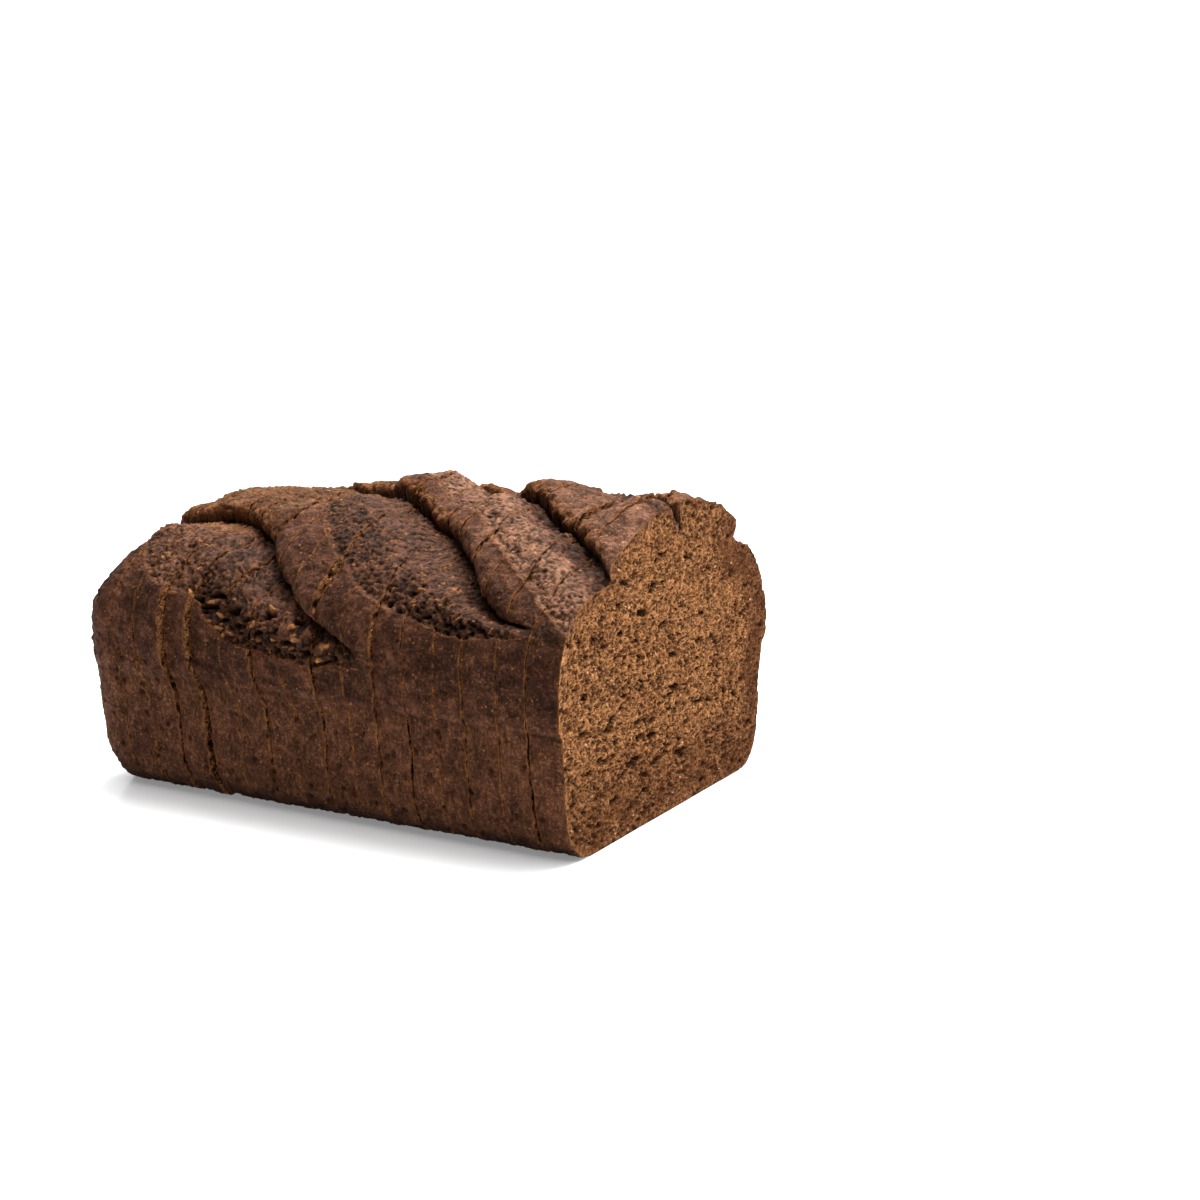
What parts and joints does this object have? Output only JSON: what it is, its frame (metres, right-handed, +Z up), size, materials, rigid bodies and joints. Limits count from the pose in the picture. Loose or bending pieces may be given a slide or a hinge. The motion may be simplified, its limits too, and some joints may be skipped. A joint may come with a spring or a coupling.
{
  "type": "sliced pumpernickel loaf",
  "caption": "Dark pan-baked rye loaf, cut into even slices that still stand together behind an open cut face; it rests on its flat baked bottom.",
  "frame": {"origin": "on the resting surface under the middle of the loaf, halfway along its length and width", "axes": "+X runs along the loaf from the heel to the open cut face, +Z is up"},
  "size_m": [0.181, 0.1414, 0.1005],
  "materials": {
    "heel_crust": "dark brown satin rye crust, rough and torn in the scores",
    "slice": "open-pored brown rye crumb with a dark satin crust"
  },
  "bodies": {
    "root": {"heel": "heel_crust", "slice_01": "slice", "slice_02": "slice", "slice_03": "slice", "slice_04": "slice", "slice_05": "slice", "slice_06": "slice", "slice_07": "slice", "slice_08": "slice", "slice_09": "slice", "slice_10": "slice", "slice_11": "slice", "slice_12": "slice", "slice_13": "slice", "slice_14": "slice", "slice_15": "slice"}
  },
  "joints": []
}
